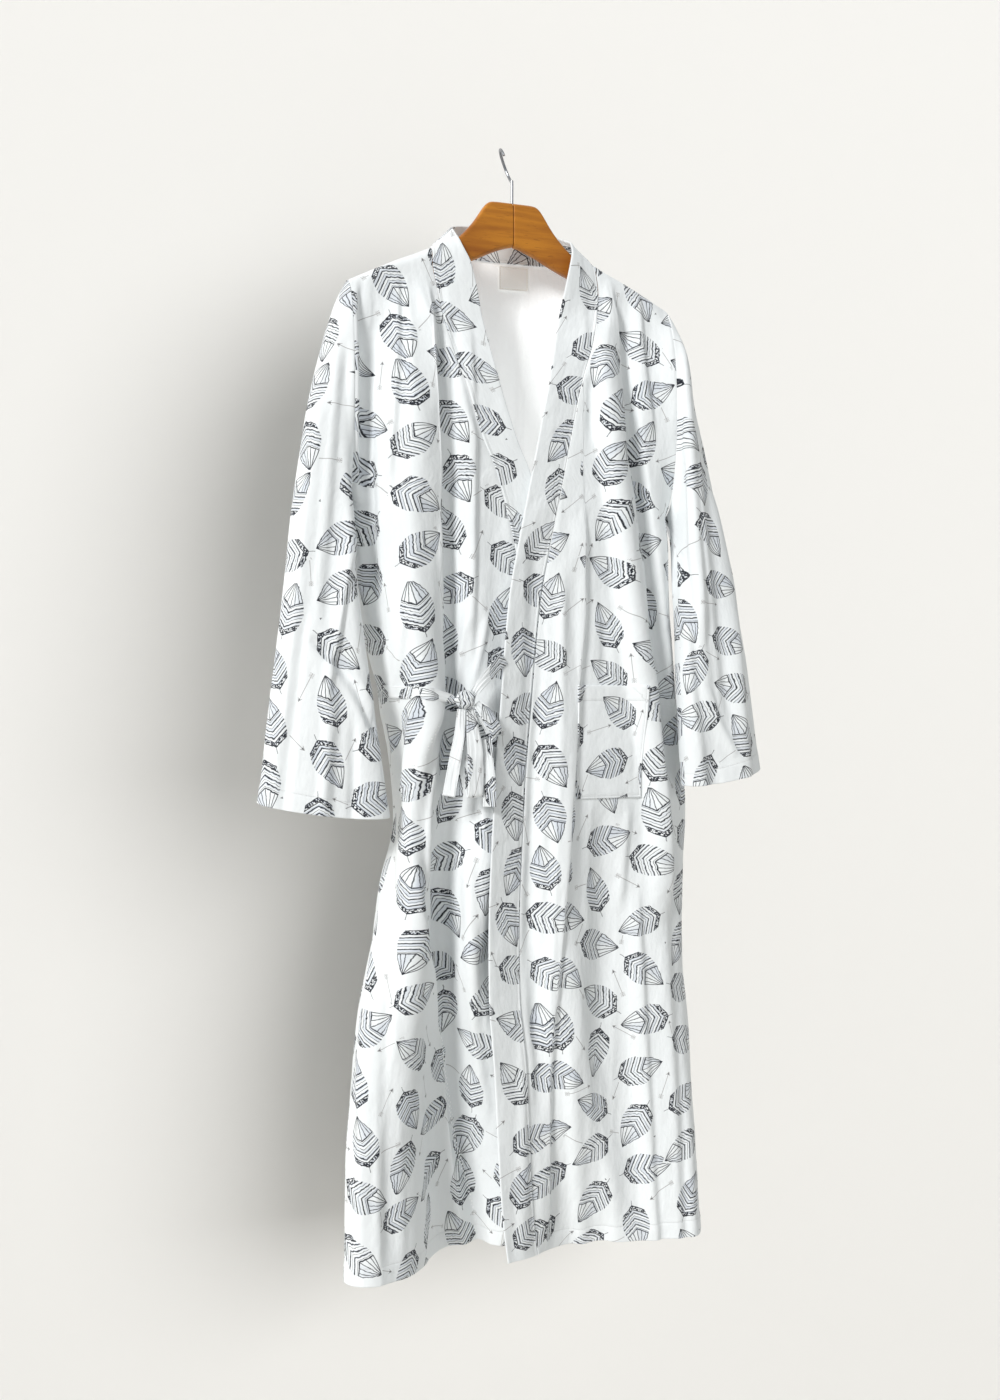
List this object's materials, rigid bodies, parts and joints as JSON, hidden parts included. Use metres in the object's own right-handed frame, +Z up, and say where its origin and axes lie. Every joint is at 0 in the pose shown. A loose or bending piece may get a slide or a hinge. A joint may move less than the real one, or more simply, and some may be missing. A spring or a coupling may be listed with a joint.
{
  "type": "kimono robe on a wooden hanger",
  "caption": "Long cotton wrap robe with wide kimono sleeves, a neck band, a patch pocket and a tied waist bow, hanging open-necked on a wooden hanger with a wire hook.",
  "frame": {"origin": "inner top of the hanger's hook, where it hangs on a rail", "axes": "+Z up along the hanging garment, -Y the garment's front, +X to the viewer's right when facing its front (the wearer's left)"},
  "size_m": [0.6393, 0.2195, 1.3291],
  "materials": {
    "printed_cotton": "matt plain weave, printed on its outer side",
    "label_weave": "woven satin",
    "oiled_wood": "satin oil",
    "steel_wire": "satin"
  },
  "bodies": {
    "root": {"back_panel": "printed_cotton", "front_right": "printed_cotton", "front_left": "printed_cotton", "sleeve_right": "printed_cotton", "sleeve_left": "printed_cotton", "neck_band": "printed_cotton", "pocket_left": "printed_cotton", "tie_side": "printed_cotton", "tie_edge": "printed_cotton", "bow_knot": "printed_cotton", "bow_loop": "printed_cotton", "hanging_loop": "printed_cotton", "tail_right": "printed_cotton", "tail_left": "printed_cotton", "neck_label": "label_weave", "hanger_arm_right": "oiled_wood", "hanger_arm_left": "oiled_wood", "hanger_hook": "steel_wire"}
  },
  "joints": []
}
